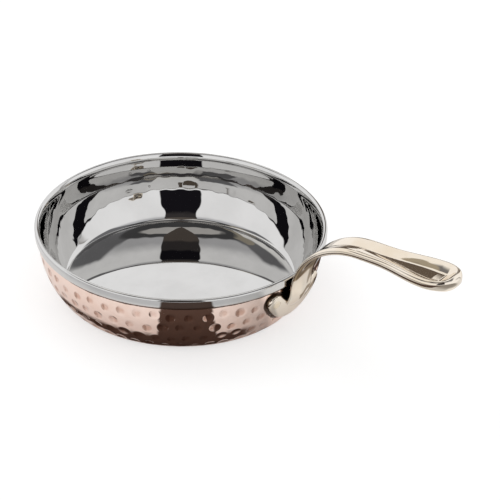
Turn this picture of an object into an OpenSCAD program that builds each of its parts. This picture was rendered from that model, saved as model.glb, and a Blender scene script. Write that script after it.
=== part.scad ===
// A small two-ply serving pan: a stainless liner rolled over a copper jacket, with a cast brass handle.
// The origin is the centre of the underside, +Z is up and the handle points along +X. Millimetres.

/* [Pan] */
// Outer diameter over the rolled rim
rim_d = 200; // [188:1:240]
// Height from the table to the top of the rim
pan_h = 48.7; // [42:0.1:60]
// Diameter of the flat base
base_d = 154; // [130:1:162]
// Radius where the base turns up into the side
base_corner_r = 10; // [6:0.5:13]

/* [Rolled rim] */
// Height of the rolled rim
rim_h = 7.1; // [5:0.1:8]
// How far the rolled rim stands out from the copper wall
rim_overhang = 2.2; // [1.8:0.1:2.6]

/* [Sheets] */
// Thickness of the copper sheet
copper_t = 0.8; // [0.5:0.1:1]
// Thickness of the stainless sheet
steel_t = 1; // [0.6:0.1:1.2]

/* [Handle foot] */
// Width across both ears
foot_w = 52; // [48:1:60]
// Diameter of the round ears
ear_d = 12; // [11:0.5:14]
// Width of the band under the neck, which joins the ears
foot_band_w = 14; // [11:0.5:15]
// Rise of the ears' centres above the middle of the band
ear_rise = 12.5; // [8:0.5:13]
// Thickness of the ears and the band
foot_t = 3.8; // [3:0.1:4.5]
// Depth of the ears' top below the top of the rim
foot_drop = 10; // [8:0.5:12]

/* [Handle neck] */
// Width of the neck
neck_w = 22; // [17:0.5:25]
// Thickness of the neck
neck_t = 2.6; // [2:0.1:4]
// Radius of the neck's bend, along its upper face
neck_bend_r = 54; // [44:1:64]
// Space between the rim and the neck where the neck starts
neck_clear = 0.8; // [0.5:0.1:3]

/* [Handle grip] */
// Reach of the handle beyond the rim
handle_reach = 121.5; // [108:0.5:150]
// Slope of the grip, in degrees
grip_slope = 4; // [0:0.5:14]
// Width of the grip at its narrowest
grip_w = 21.5; // [17:0.5:26]
// Width of the round end
end_w = 31; // [26:0.5:36]
// Length of the rounding of the end
end_l = 18; // [14:0.5:22]
// Thickness of the grip at its round end
end_t = 9; // [6:0.5:11]
// Thickness of the grip where it leaves the bend
grip_t = 6.6; // [4:0.2:8]
// Depth of the thumb channel at the round end
channel_d = 4.5; // [2:0.25:5]
// Depth of the thumb channel where the grip leaves the bend
grip_channel_d = 2.4; // [1:0.1:3]

/* [Rivets] */
// Diameter of the rivet shanks
rivet_d = 4; // [3:0.25:5]
// Diameter of the rivet heads inside the pan
rivet_head_d = 9; // [7:0.5:11]
// Height of the rivet heads inside the pan
rivet_head_h = 1.8; // [1:0.1:2.5]

/* [Hidden] */
$fn = 180;

// Space left between parts that are pressed together
seat_gap = 0.05;
// Overrun of every cut
over = 1;

// Section of the pan: a flat base, a small corner arc, then one large arc that ends upright under the rim
rim_r = rim_d / 2;
wall_r = rim_r - rim_overhang;
wall_top = pan_h - rim_h;
base_r = base_d / 2;
side_run = wall_r - base_r;
// The corner takes no more than this share of the side's run
corner_limit_share = 0.75;
corner_r = min(base_corner_r, side_run * corner_limit_share);
side_rise = wall_top - corner_r;
side_r = (side_run * side_run + side_rise * side_rise - corner_r * corner_r)
       / (2 * (side_run - corner_r));
side_x = wall_r - side_r;
side_end = atan2(side_rise, base_r - side_x);

// Depths of the steel's outer and inner face below the copper's outer face
steel_out = copper_t + seat_gap;
steel_in = steel_out + steel_t;

// The rolled rim is an upright oval tube of sheet, open below where the copper's edge goes in
roll_r = (rim_overhang + steel_in) / 2;
roll_x = rim_r - roll_r;
roll_top = pan_h - roll_r;
roll_low = wall_top + roll_r;

// Outer radius of the copper wall at a height, and the dip of its outward normal below the horizontal
function wall_x(z) = side_x + sqrt(side_r * side_r - pow(min(z, wall_top) - wall_top, 2));
function wall_dip(z) = asin((wall_top - z) / side_r);

// The foot is a band that curves like a smile, from one round ear down under the neck to the other ear
ear_z = pan_h - foot_drop - ear_d / 2;
band_z = ear_z - ear_rise;
ear_y = (foot_w - ear_d) / 2;
// Exponent of the rounding of the ears' thickness
ear_edge_exp = 6;
// The neck's root starts inside the band, this far off the copper and this thick
root_sink = 1;
root_t = 1.6;
// Share of the root's length that its round lower end takes, and how far the root then stands proud
root_round_share = 0.4;
boss_d = 2.2;

// Path of the upper face: up from the foot, out past the rim, round the bend and along the grip
neck_drop = 9.5;
neck_start_z = pan_h - neck_drop;
neck_lean = 4;
bend_start_x = rim_r + neck_clear;
bend_x = bend_start_x + neck_bend_r * cos(neck_lean);
bend_z = neck_start_z - neck_bend_r * sin(neck_lean);
bend_from = 180 - neck_lean;
bend_to = 90 + grip_slope;
grip_x = bend_x + neck_bend_r * cos(bend_to);
grip_z = bend_z + neck_bend_r * sin(bend_to);
tip_x = rim_r + handle_reach;
end_x = tip_x - end_l;
// Length over which the grip widens to its round end, and width of the bead that closes the channel
flare_l = 38;
end_bead_w = 5;

// Depth of the channel on the neck, and of the scoop in the outer face of the neck
neck_channel_d = 0.6;
scoop_d = 0.9;
// Share of the half width that the channel and the scoop take
channel_share = 0.86;
// Exponents of a section's rounding: across the width, on its upper face, and on the lower face
// of the foot, of the neck and of the grip. Small ones are square, and 1 is an ellipse.
width_exp = 0.6;
upper_exp = 0.5;
foot_exp = 0.4;
neck_exp = 0.5;
grip_exp = 0.8;
// Shares of the bend at which the channel starts, the scoop is deepest and the scoop starts to fade
channel_start_share = 0.2;
scoop_full_share = 0.35;
scoop_fade_share = 0.6;

// The rivets' sunk outer heads
sink_h = 1.2;
sink_d = rivet_d + 2 * sink_h;

// Mesh density of the handle, and the share of its last step that is left flat at the tip
tip_flat_share = 0.25;
band_steps = 24;
ear_steps = 7;
root_steps = 12;
bend_steps = 22;
grip_steps = 20;
end_steps = 12;
ring_points = 40;

function mix(a, b, t) = a + (b - a) * t;
function ease(t) = (1 - cos(180 * max(0, min(1, t)))) / 2;
function spow(v, e) = sign(v) * pow(abs(v), e);
function oval(t, e) = pow(max(0, 1 - pow(abs(t), e)), 1 / e);

// Filled section of the pan up to a level, drawn inward by a distance from the copper's outer face
module pan_fill(inward, top) {
    corner_low = wall_top - side_r * sin(side_end);
    translate([0, inward]) square([base_r, top - inward]);
    translate([base_r, corner_r]) circle(r = corner_r - inward);
    intersection() {
        translate([side_x, wall_top]) circle(r = side_r - inward);
        polygon([
            [base_r, wall_top],
            [base_r, corner_r],
            [side_x + side_r * cos(side_end), corner_low],
            [wall_r + side_r, corner_low],
            [wall_r + side_r, wall_top]
        ]);
    }
    translate([base_r, wall_top]) square([side_run - inward, top - wall_top]);
}

// Upright oval of the rolled rim, drawn inward by a distance
module roll_fill(inward) {
    half_w = roll_r - inward;
    for (z = [roll_low, roll_top]) translate([roll_x, z]) circle(r = half_w);
    translate([roll_x - half_w, roll_low]) square([2 * half_w, roll_top - roll_low]);
}

// One drawn sheet: the bowl, and the rim that curls outward and down over the copper's edge
module steel_liner() {
    color("gainsboro") difference() {
        rotate_extrude() {
            difference() {
                pan_fill(steel_out, roll_top);
                pan_fill(steel_in, roll_top + over);
            }
            difference() {
                roll_fill(0);
                roll_fill(steel_t);
                translate([rim_r - 2 * roll_r - over, wall_top - over])
                    square([2 * roll_r - rim_overhang + seat_gap + over, roll_top - wall_top + over]);
            }
        }
        rivet_holes();
    }
}

// The copper sheet follows the steel and ends inside the rolled rim
module copper_jacket() {
    color("peru") difference() {
        rotate_extrude() difference() {
            pan_fill(0, roll_top - seat_gap);
            pan_fill(copper_t, roll_top + over);
        }
        rivet_holes();
    }
}

// Station of the foot's band, by the distance from its middle: place across and up, direction of the band,
// half width and thickness
function band_station(s) =
    let (
        side = sign(s),
        past = max(0, abs(s) - ear_y) / (ear_d / 2),
        from = min(abs(s), ear_y) / ear_y,
        turn = atan2(2 * ear_rise * from, ear_y),
        reach = past * ear_d / 2
    )
    [
        side * (from * ear_y + reach * cos(turn)), band_z + ear_rise * from * from + reach * sin(turn),
        side * turn, mix(foot_band_w, ear_d, from * from) / 2 * oval(past, 2), foot_t * oval(past, ear_edge_exp)
    ];

band_stations = [
    for (i = [1 - ear_steps : 0]) band_station(-ear_y - ear_d / 2 * sin(90 * (tip_flat_share - i) / ear_steps)),
    for (i = [1 - band_steps : band_steps - 1]) band_station(ear_y * i / band_steps),
    for (i = [0 : ear_steps - 1]) band_station(ear_y + ear_d / 2 * sin(90 * (tip_flat_share + i) / ear_steps))
];

// The closed ring of points round one station of the band: flat on the wall, rounded outside
function band_ring(s) = [
    for (j = [0 : ring_points - 1])
        let (
            a = 360 * j / ring_points,
            across = s[3] * spow(cos(a), width_exp),
            y = s[0] - across * sin(s[2]),
            z = s[1] + across * cos(s[2]),
            r = wall_x(z) + seat_gap + s[4] * spow(max(0, sin(a)), foot_exp)
        )
        [sqrt(r * r - y * y), y, z]
];

// A station of the neck and the grip is a list: place x and z of the upper face, direction in which the
// upper face looks, half width, upper and lower half thickness, depth of the channel above, depth of the
// scoop below (a bulge if negative), how far the upper face follows the wall's round (0 to 1), and the
// exponent of the lower face. First the root of the neck, from inside the band out to where it clears the rim.
function root_station(t) =
    let (z = mix(band_z, neck_start_z, t), k = ease(t))
    [
        mix(wall_x(z) + root_sink, bend_start_x, k), z, mix(180, bend_from, k),
        neck_w / 2 * oval(1 - min(1, t / root_round_share), 2),
        neck_t / 2 * k, mix(root_t, neck_t / 2, k),
        0, -boss_d * ease(2 * t) * mix(1, 0.5, k), 1 - k, mix(foot_exp, neck_exp, k)
    ];

// Round the bend
function bend_station(t) =
    let (a = mix(bend_from, bend_to, t), half_t = mix(neck_t, grip_t, ease(t)) / 2)
    [
        bend_x + neck_bend_r * cos(a), bend_z + neck_bend_r * sin(a), a,
        mix(neck_w, grip_w, ease(t)) / 2, half_t, half_t,
        mix(neck_channel_d, grip_channel_d, ease((t - channel_start_share) / (1 - channel_start_share)))
            * ease(t / channel_start_share),
        mix(-boss_d / 2, scoop_d, ease(t / scoop_full_share))
            * (1 - ease((t - scoop_fade_share) / (1 - scoop_fade_share))),
        0, mix(neck_exp, grip_exp, ease(t))
    ];

// Along the grip and round its end, by the place along X
function grip_station(x) =
    let (
        along = ease((x - grip_x) / (end_x - grip_x)),
        flare = ease((x - end_x + flare_l) / flare_l),
        left = tip_x - x,
        fade = oval(max(0, 1 - left / end_bead_w), 2),
        half_t = mix(grip_t, end_t, along) / 2
    )
    [
        x, grip_z + (x - grip_x) * tan(grip_slope) - (1 - fade) * half_t, bend_to,
        mix(grip_w, end_w, flare) / 2 * oval(max(0, (x - end_x) / end_l), 2), half_t * fade, half_t * fade,
        mix(grip_channel_d, channel_d, along) * ease((left - end_bead_w / 2) / (2 * end_bead_w)),
        0, 0, grip_exp
    ];

arm_stations = concat(
    [for (i = [1 : root_steps]) root_station((i - 1 + tip_flat_share) / (root_steps - 1 + tip_flat_share))],
    [for (i = [1 : bend_steps]) bend_station(i / bend_steps)],
    [for (i = [1 : grip_steps]) grip_station(mix(grip_x, end_x, i / grip_steps))],
    [for (i = [1 : end_steps]) grip_station(mix(end_x, tip_x, sin(90 * (i - tip_flat_share) / end_steps)))]
);

// The closed ring of points round one station
function ring(s) =
    let (x = s[0], z = s[1], facing = s[2], half_w = s[3], up_t = s[4], low_t = s[5],
         channel = s[6], scoop = s[7], hug = s[8], low_exp = s[9])
    [
        for (j = [0 : ring_points - 1])
            let (
                a = 360 * j / ring_points,
                across = half_w * spow(cos(a), width_exp),
                dish = ease(1 - abs(across) / (half_w * channel_share)),
                face = sin(a) >= 0 ? up_t * spow(sin(a), upper_exp) - channel * dish
                                   : low_t * spow(sin(a), low_exp) + scoop * dish,
                up = face - up_t + hug * (x - sqrt(x * x - across * across))
            )
            [x + up * cos(facing), across, z + up * sin(facing)]
    ];

// One arm of the casting, through its rings of points
module casting(rings) {
    last = (len(rings) - 1) * ring_points;
    polyhedron(
        points = [for (r = rings) each r],
        faces = concat(
            [[for (j = [0 : ring_points - 1]) j]],
            [
                for (i = [0 : len(rings) - 2], j = [0 : ring_points - 1])
                    let (near = i * ring_points, far = near + ring_points, k = (j + 1) % ring_points)
                    each [[near + j, far + j, far + k], [near + j, far + k, near + k]]
            ],
            [[for (j = [ring_points - 1 : -1 : 0]) last + j]]
        ),
        convexity = 6
    );
}

// Places its children on a rivet's axis, square to the wall, with the copper's outer face at zero
module at_rivet(side) {
    turn = side * asin(ear_y / wall_x(ear_z));
    rotate([0, 0, turn]) translate([wall_x(ear_z), 0, ear_z])
        rotate([0, 90 + wall_dip(ear_z), 0]) children();
}

// Shank of a rivet with its sunk outer head, wider by a clearance for its hole
module rivet_shank(clear) {
    shank_d = rivet_d + 2 * clear;
    head_d = sink_d + 2 * clear;
    translate([0, 0, -steel_in - over]) cylinder(d = shank_d, h = steel_in + foot_t + over);
    translate([0, 0, foot_t - sink_h]) cylinder(d1 = shank_d, d2 = head_d, h = sink_h);
    translate([0, 0, foot_t]) cylinder(d = head_d, h = over);
}

module rivet_holes() {
    for (side = [-1, 1]) at_rivet(side) rivet_shank(seat_gap);
}

// Ball whose cap stands inside the pan, as wide at the steel as the rivet's head
module rivet_ball() {
    ball_r = (rivet_head_d * rivet_head_d / 4 + rivet_head_h * rivet_head_h) / (2 * rivet_head_h);
    rotate_extrude() translate([0, rivet_head_h - ball_r]) intersection() {
        circle(r = ball_r);
        translate([0, -ball_r]) square([ball_r, 2 * ball_r]);
    }
}

// A round head on the steel inside the pan, a shank, and a sunk head filed flush with the ear
module rivet(side) {
    color("khaki") {
        intersection() {
            at_rivet(side) translate([0, 0, -steel_in]) mirror([0, 0, 1]) rivet_ball();
            rotate_extrude() pan_fill(steel_in + seat_gap, roll_top);
        }
        at_rivet(side) translate([0, 0, -steel_in - rivet_head_h / 2])
            cylinder(d = rivet_d, h = steel_in + rivet_head_h / 2 + foot_t / 2);
        intersection() {
            at_rivet(side) rivet_shank(0);
            foot_band();
        }
    }
}

module foot_band() { casting([for (s = band_stations) band_ring(s)]); }

module handle() {
    color("wheat") difference() {
        union() {
            foot_band();
            casting([for (s = arm_stations) ring(s)]);
        }
        rivet_holes();
    }
}

module rivet_left() { rivet(-1); }
module rivet_right() { rivet(1); }

steel_liner();
copper_jacket();
handle();
rivet_left();
rivet_right();
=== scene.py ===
from math import asin, atan2, cos, hypot, pi, radians, sin, sqrt, tan

import bpy
import numpy as np
from mathutils import Matrix, Vector
from mathutils.bvhtree import BVHTree


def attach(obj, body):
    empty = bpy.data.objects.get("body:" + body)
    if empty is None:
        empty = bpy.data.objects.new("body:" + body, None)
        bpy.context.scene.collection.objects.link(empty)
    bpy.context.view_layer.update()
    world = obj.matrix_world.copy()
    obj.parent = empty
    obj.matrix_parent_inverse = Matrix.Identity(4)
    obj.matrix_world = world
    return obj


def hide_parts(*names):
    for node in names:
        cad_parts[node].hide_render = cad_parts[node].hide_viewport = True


# A small serving pan: a polished steel bowl with a rolled rim, a hammered copper jacket round it, and a cast
# brass handle held by two rivets. The scene is in metres and the pieces' sizes are in millimetres, times MM.
# The base stands on z = 0 and the handle points along +X.
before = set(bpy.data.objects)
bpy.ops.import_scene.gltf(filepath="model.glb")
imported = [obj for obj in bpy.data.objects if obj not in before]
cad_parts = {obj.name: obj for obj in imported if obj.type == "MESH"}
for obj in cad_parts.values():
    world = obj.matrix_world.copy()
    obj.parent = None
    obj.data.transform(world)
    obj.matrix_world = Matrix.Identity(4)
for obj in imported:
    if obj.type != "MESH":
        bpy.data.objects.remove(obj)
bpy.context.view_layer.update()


# The camera
# A long lens from above and beside the handle, which points 37 degrees towards the viewer.
MM = 0.001
handle_turn = radians(37.0)
camera_tilt = radians(31.389)
camera_roll = radians(1.79)
camera_distance = 1.4
lens_in_frames = 4.0936
sensor_mm = 36.0
# A point on the pan's axis, and its place off the middle of the frame, in frame widths.
aim = Vector((0.0, 0.0, 46.68 * MM))
aim_in_frame = (-0.13736, 0.05152)

right = Vector((cos(handle_turn), sin(handle_turn), 0.0))
away = Vector((-sin(handle_turn), cos(handle_turn), 0.0))
look = away * cos(camera_tilt) - Vector((0.0, 0.0, sin(camera_tilt)))
upward = away * sin(camera_tilt) + Vector((0.0, 0.0, cos(camera_tilt)))
frame_x = right * cos(camera_roll) + upward * sin(camera_roll)
frame_y = upward * cos(camera_roll) - right * sin(camera_roll)
frame_width = camera_distance / lens_in_frames
camera_place = (aim - look * camera_distance - frame_x * aim_in_frame[0] * frame_width
                - frame_y * aim_in_frame[1] * frame_width)

camera = bpy.data.objects.new("camera", bpy.data.cameras.new("camera"))
camera.data.sensor_fit = "HORIZONTAL"
camera.data.sensor_width = sensor_mm
camera.data.lens = lens_in_frames * sensor_mm
camera.matrix_world = Matrix((
    (frame_x.x, frame_y.x, -look.x, camera_place.x),
    (frame_x.y, frame_y.y, -look.y, camera_place.y),
    (frame_x.z, frame_y.z, -look.z, camera_place.z),
    (0.0, 0.0, 0.0, 1.0),
))
bpy.context.scene.collection.objects.link(camera)
bpy.context.scene.camera = camera
bpy.context.scene.view_settings.view_transform = "Standard"


# The studio
# A white tent of soft panels over a pale table. It has a dark slot towards the viewer, dark boards at the
# sides and a dark top, which the polished metal shows. Only mirror rays see them; all other light is even.
class Graph:
    """A node tree with short calls that add a node and wire its inputs."""

    def __init__(self, tree):
        self.tree = tree
        tree.nodes.clear()

    def put(self, socket, value):
        """Wire a socket to another one, or set it to a plain value."""
        if isinstance(value, bpy.types.NodeSocket):
            self.tree.links.new(value, socket)
        else:
            socket.default_value = value

    def node(self, kind, inputs=(), **settings):
        made = self.tree.nodes.new(kind if kind.startswith("Node") else "ShaderNode" + kind)
        for name, value in settings.items():
            setattr(made, name, value)
        for key, value in dict(inputs).items():
            self.put(made.inputs[key], value)
        return made

    def math(self, operation, *values):
        return self.node("Math", dict(enumerate(values)), operation=operation).outputs[0]

    def times(self, a, b):
        return self.math("MULTIPLY", a, b)

    def plus(self, a, b):
        return self.math("ADD", a, b)

    def scaled(self, value, factor, added):
        return self.math("MULTIPLY_ADD", value, factor, added)

    def but_not(self, mask, other):
        """The mask, less what the other one covers."""
        return self.times(mask, self.math("SUBTRACT", 1.0, other))

    def step(self, value, low, high, to_low=0.0, to_high=1.0):
        """Smooth change from to_low to to_high as the value goes from low to high."""
        made = self.node("MapRange", {"Value": value, "From Min": low, "From Max": high,
                                      "To Min": to_low, "To Max": to_high}, interpolation_type="SMOOTHSTEP")
        return made.outputs["Result"]

    def band(self, value, low, high, soft):
        """1 between low and high, 0 outside, with soft edges."""
        return self.times(self.step(value, low - soft, low + soft),
                          self.step(value, high - soft, high + soft, 1.0, 0.0))

    def vector(self, operation, a, b):
        return self.node("VectorMath", {0: a, 1: b}, operation=operation)

    def dot(self, a, b):
        return self.vector("DOT_PRODUCT", a, b).outputs["Value"]

    def mix(self, share, a, b):
        """Colour a, turning into colour b as the share goes from 0 to 1."""
        made = self.node("Mix", {"Factor": share}, data_type="RGBA")
        for key, colour in ((6, a), (7, b)):
            self.put(made.inputs[key], colour if isinstance(colour, bpy.types.NodeSocket) else (*colour, 1.0))
        return made.outputs[2]

    def heading(self, way):
        """Degrees round from the viewer, positive to the right."""
        return self.times(self.math("ARCTAN2", self.dot(way, right), self.dot(way, -away)), 180.0 / pi)


# The tent, by heading and by rise above the table, in degrees. A field is (low, high) or (low, high,
# softness). With four values, the last two are what it goes from and to.
WHITE = (1.06, 1.06, 1.07)
BACK_HALF = (100.0, 116.0)
UPPER_PANELS = (40.0, 58.0)
UPPER_FRONT = (0.62, 0.62, 0.64)
UPPER_BACK = (1.04, 1.03, 1.01)

SIDE_DARK = (0.20, 0.20, 0.21)
RIGHT_BOARD = (84.0, 152.0, 5.0)
LEFT_BOARD = (-124.0, -84.0, 5.0)
SIDE_BOARD_FOOT = (42.0, 47.0)

LOW_BACK = (0.13, 0.105, 0.085)
LOW_BACK_TOP = (29.6, 31.0)
TALL_PART = (160.0, 177.0, 0.3)
TALL_PART_EXTRA = 3.0
LIFTED_PART = (164.0, 166.0)
LIFTED_FOOT = (177.0, 177.8, 13.0, 28.8)
LIFTED_SOFT = 0.7
PALE_BACK_LEFT = (-172.0, -102.0, 2.0)
PALE_BACK_RIGHT = (112.0, 158.0, 2.0)

TOP_DARK = (0.085, 0.085, 0.088)
TOP_FROM = (65.0, 68.0)
TOP_PANEL = (0.66, 0.64, 0.62)
TOP_PANEL_FROM = (73.0, 75.0)
TOP_LEFT = (0.40, 0.36, 0.29)
TOP_LEFT_PART = (-158.0, -95.0, 5.0)
TOP_LEFT_FROM = (65.2, 65.9)
TOP_LEFT_TO = (68.0, 69.5)
TOP_LEFT_SLANT = (-128.0, -118.0)
TOP_LEFT_DROP = 4.0

SLOT_MIDDLE = 3.0
SLOT_EDGE = (16.8, 18.2)
SLOT_WIDENS = (45.0, 70.0, 0.0, 7.0)
SLOT_FOOT = (9.0, 10.0)
SLOT_LOW = (0.010, 0.009, 0.012)
SLOT_MIDDLE_FROM = (40.0, 44.0)
SLOT_HALF_WAY = (0.045, 0.040, 0.040)
SLOT_UPPER_FROM = (56.0, 62.0)
SLOT_UPPER = (0.11, 0.092, 0.08)
EVEN_LIGHT = (0.96, 0.96, 0.96)
BACKDROP = (1.0, 1.0, 1.0)

world = bpy.data.worlds.new("studio")
bpy.context.scene.world = world
world.use_nodes = True
g = Graph(world.node_tree)
direction = g.node("TexCoord").outputs["Generated"]
heading = g.heading(direction)
rise = g.times(g.math("ARCSINE", g.dot(direction, (0.0, 0.0, 1.0))), 180.0 / pi)
behind = g.step(g.math("ABSOLUTE", heading), *BACK_HALF)
tent = g.mix(g.step(rise, *UPPER_PANELS), WHITE, g.mix(behind, UPPER_FRONT, UPPER_BACK))

beside = g.math("MAXIMUM", g.band(heading, *RIGHT_BOARD), g.band(heading, *LEFT_BOARD))
tent = g.mix(g.times(beside, g.step(rise, *SIDE_BOARD_FOOT)), tent, SIDE_DARK)

# The brown board low behind the pan. One part of it is taller and stands clear of the table.
against_top = g.scaled(g.band(heading, *TALL_PART), -TALL_PART_EXTRA, rise)
low_back = g.times(behind, g.step(against_top, *LOW_BACK_TOP, 1.0, 0.0))
above_foot = g.math("SUBTRACT", rise, g.step(heading, *LIFTED_FOOT))
pale_foot = g.times(g.step(heading, *LIFTED_PART), g.step(above_foot, -LIFTED_SOFT, LIFTED_SOFT, 1.0, 0.0))
for opening in (pale_foot, g.band(heading, *PALE_BACK_LEFT), g.band(heading, *PALE_BACK_RIGHT)):
    low_back = g.but_not(low_back, opening)
tent = g.mix(low_back, tent, LOW_BACK)

tent = g.mix(g.step(rise, *TOP_FROM), tent, TOP_DARK)
tent = g.mix(g.but_not(g.step(rise, *TOP_PANEL_FROM), behind), tent, TOP_PANEL)
slanted = g.scaled(g.step(heading, *TOP_LEFT_SLANT), TOP_LEFT_DROP, rise)
top_left = g.times(g.band(heading, *TOP_LEFT_PART), g.step(slanted, *TOP_LEFT_FROM))
tent = g.mix(g.times(top_left, g.step(rise, *TOP_LEFT_TO, 1.0, 0.0)), tent, TOP_LEFT)

# The slot towards the viewer, where the tent is open.
off_middle = g.math("ABSOLUTE", g.math("SUBTRACT", heading, SLOT_MIDDLE))
off_middle = g.math("SUBTRACT", off_middle, g.step(rise, *SLOT_WIDENS))
slot = g.times(g.step(off_middle, *SLOT_EDGE, 1.0, 0.0), g.step(rise, *SLOT_FOOT))
dark = g.mix(g.step(rise, *SLOT_MIDDLE_FROM), SLOT_LOW, SLOT_HALF_WAY)
dark = g.mix(g.step(rise, *SLOT_UPPER_FROM), dark, SLOT_UPPER)
tent = g.mix(slot, tent, dark)

rays = g.node("LightPath").outputs
mirrored = g.math("MAXIMUM", rays["Is Glossy Ray"], rays["Is Transmission Ray"])
seen = g.mix(rays["Is Camera Ray"], g.mix(mirrored, EVEN_LIGHT, tent), BACKDROP)
background = g.node("Background", {"Color": seen, "Strength": 1.0})
g.node("OutputWorld", {"Surface": background.outputs[0]})

# The table is a wide pale sheet that keeps the pan's soft shadow. In the metal it shows painted light and
# shade of its own, in fields by heading and by reach from the pan's axis in metres.
TABLE_HALF = 6.0
TABLE_DROP = 0.02 * MM
TABLE_TONE = (0.86, 0.86, 0.86)
TABLE_SEEN = (0.42, 0.42, 0.42)
TABLE_GLOW = 0.62
# Each of these tones takes over as the field goes from low to high.
TABLE_MID = (0.66, 0.66, 0.67)
TABLE_MID_FROM = (0.150, 0.170)
TABLE_RIGHT = (((0.62, 0.62, 0.62), (19.0, 50.0)),
               ((1.0, 0.99, 0.98), (46.0, 52.0)),
               ((0.86, 0.85, 0.84), (64.0, 72.0)))
NECK_SHADE = (0.42, 0.38, 0.33)
UNDER_NECK = (63.0, 90.0, 1.5)
UNDER_NECK_REACH = (0.1095, 0.1265, 0.002)
FAR_FROM = (0.28, 0.42)
FAR_FRONT = (-75.0, 75.0, 8.0)
FAR_FRONT_TONE = (0.30, 0.28, 0.26)
FAR_BACK = (150.0, 158.0)
PAN_SHADE = (0.085, 0.058, 0.048)
TABLE_SLOT = (-8.5, 19.5, 0.8)
TABLE_SLOT_FROM = (0.0885, 0.0905)
SHADE_PART = (-70.0, 37.0, 5.0)
SHADE_FROM, SHADE_EDGE = 0.0830, 0.0006
SHADE_TO = (0.0915, 0.0975)
SHADE_GROWS, SHADE_GROWTH = (14.0, 50.0), 0.0048
UNDER_GRIP = (84.0, 112.0, 1.5)
UNDER_GRIP_TO = (0.121, 0.129)

table_mesh = bpy.data.meshes.new("table")
table_corners = ((-1, -1), (1, -1), (1, 1), (-1, 1))
table_mesh.from_pydata([(x * TABLE_HALF, y * TABLE_HALF, -TABLE_DROP) for x, y in table_corners],
                       [], [(0, 1, 2, 3)])
table = bpy.data.objects.new("table", table_mesh)
bpy.context.scene.collection.objects.link(table)
table_finish = bpy.data.materials.new("white_table")
table_finish.use_nodes = True
g = Graph(table_finish.node_tree)
spot = g.node("TexCoord").outputs["Object"]
heading = g.heading(spot)
reach = g.node("VectorMath", {0: spot}, operation="LENGTH").outputs["Value"]

in_metal = g.mix(g.step(reach, *TABLE_MID_FROM), TABLE_TONE, TABLE_MID)
for tone, field in TABLE_RIGHT:
    in_metal = g.mix(g.step(heading, *field), in_metal, tone)
# Painted shade under the neck, seen only in the metal.
under_neck = g.times(g.band(heading, *UNDER_NECK), g.band(reach, *UNDER_NECK_REACH))
in_metal = g.mix(under_neck, in_metal, NECK_SHADE)
far = g.step(reach, *FAR_FROM)
in_metal = g.mix(g.times(far, g.band(heading, *FAR_FRONT)), in_metal, FAR_FRONT_TONE)
in_metal = g.mix(g.times(far, g.step(heading, *FAR_BACK)), in_metal, LOW_BACK)

# Painted shade of the pan and its handle, seen only in the metal, and the foot of the slot.
slot = g.times(g.band(heading, *TABLE_SLOT), g.step(reach, *TABLE_SLOT_FROM))
growth = g.step(g.math("ABSOLUTE", heading), *SHADE_GROWS)
past_edge = g.scaled(growth, -SHADE_GROWTH, g.math("SUBTRACT", reach, SHADE_FROM))
shade = g.times(g.step(past_edge, -SHADE_EDGE, SHADE_EDGE), g.step(reach, *SHADE_TO, 1.0, 0.0))
shade = g.times(shade, g.band(heading, *SHADE_PART))
under_grip = g.times(g.band(heading, *UNDER_GRIP), g.step(reach, *UNDER_GRIP_TO, 1.0, 0.0))
in_metal = g.mix(g.math("MAXIMUM", slot, g.math("MAXIMUM", shade, under_grip)), in_metal, PAN_SHADE)

rays = g.node("LightPath").outputs
plain = g.mix(rays["Is Camera Ray"], TABLE_TONE, TABLE_SEEN)
paper = g.node("BsdfDiffuse", {"Color": g.mix(rays["Is Glossy Ray"], plain, in_metal)})
glow = g.node("Emission", {"Color": (*BACKDROP, 1.0), "Strength": g.times(rays["Is Camera Ray"], TABLE_GLOW)})
both = g.node("AddShader", {0: paper.outputs[0], 1: glow.outputs[0]})
g.node("OutputMaterial", {"Surface": both.outputs[0]})
table_mesh.materials.append(table_finish)

# One large soft lamp high behind the pan gives the shadow its side. The metal doesn't show it.
LAMP_WIDTH, LAMP_POWER = 0.9, 2.2
LAMP_BACK, LAMP_LEFT, LAMP_UP = 0.5, 0.45, 1.1
lamp = bpy.data.objects.new("soft_lamp", bpy.data.lights.new("soft_lamp", "AREA"))
lamp.data.shape = "DISK"
lamp.data.size = LAMP_WIDTH
lamp.data.energy = LAMP_POWER
lamp_place = away * LAMP_BACK - right * LAMP_LEFT + Vector((0.0, 0.0, LAMP_UP))
lamp.visible_glossy = False
lamp.matrix_world = Matrix.Translation(lamp_place) @ lamp_place.to_track_quat("Z", "Y").to_matrix().to_4x4()
bpy.context.scene.collection.objects.link(lamp)


# The steel bowl
# One drawn sheet of stainless steel, mirror polished. Its edge is rolled outward and down over the copper.
# The hammer marks of the jacket show through on its wall as low rounded bumps.
PAN_H = 48.7
RIM_R = 100.0
RIM_H = 7.1
RIM_OVERHANG = 2.2
BASE_R = 77.0
CORNER_R = 10.0
COPPER_T = 0.8
SEAT_GAP = 0.05
STEEL_T = 1.0
WALL_R = RIM_R - RIM_OVERHANG
WALL_TOP = PAN_H - RIM_H
STEEL_OUT = COPPER_T + SEAT_GAP
STEEL_IN = STEEL_OUT + STEEL_T
ROLL_R = (RIM_R - WALL_R + STEEL_IN) / 2
ROLL_X = RIM_R - ROLL_R
ROLL_TOP = PAN_H - ROLL_R
ROLL_LOW = WALL_TOP + ROLL_R

# The side is one arc from the corner to the wall's top, where it stands upright.
side_run = WALL_R - BASE_R
side_rise = WALL_TOP - CORNER_R
SIDE_R = (side_run ** 2 + side_rise ** 2 - CORNER_R ** 2) / (2 * (side_run - CORNER_R))
SIDE_X = WALL_R - SIDE_R
SIDE_END = atan2(side_rise, BASE_R - SIDE_X)
CORNER_LEN = CORNER_R * (pi / 2 - SIDE_END)
SIDE_LEN = SIDE_R * SIDE_END
UPRIGHT_STEPS = 4


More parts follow.
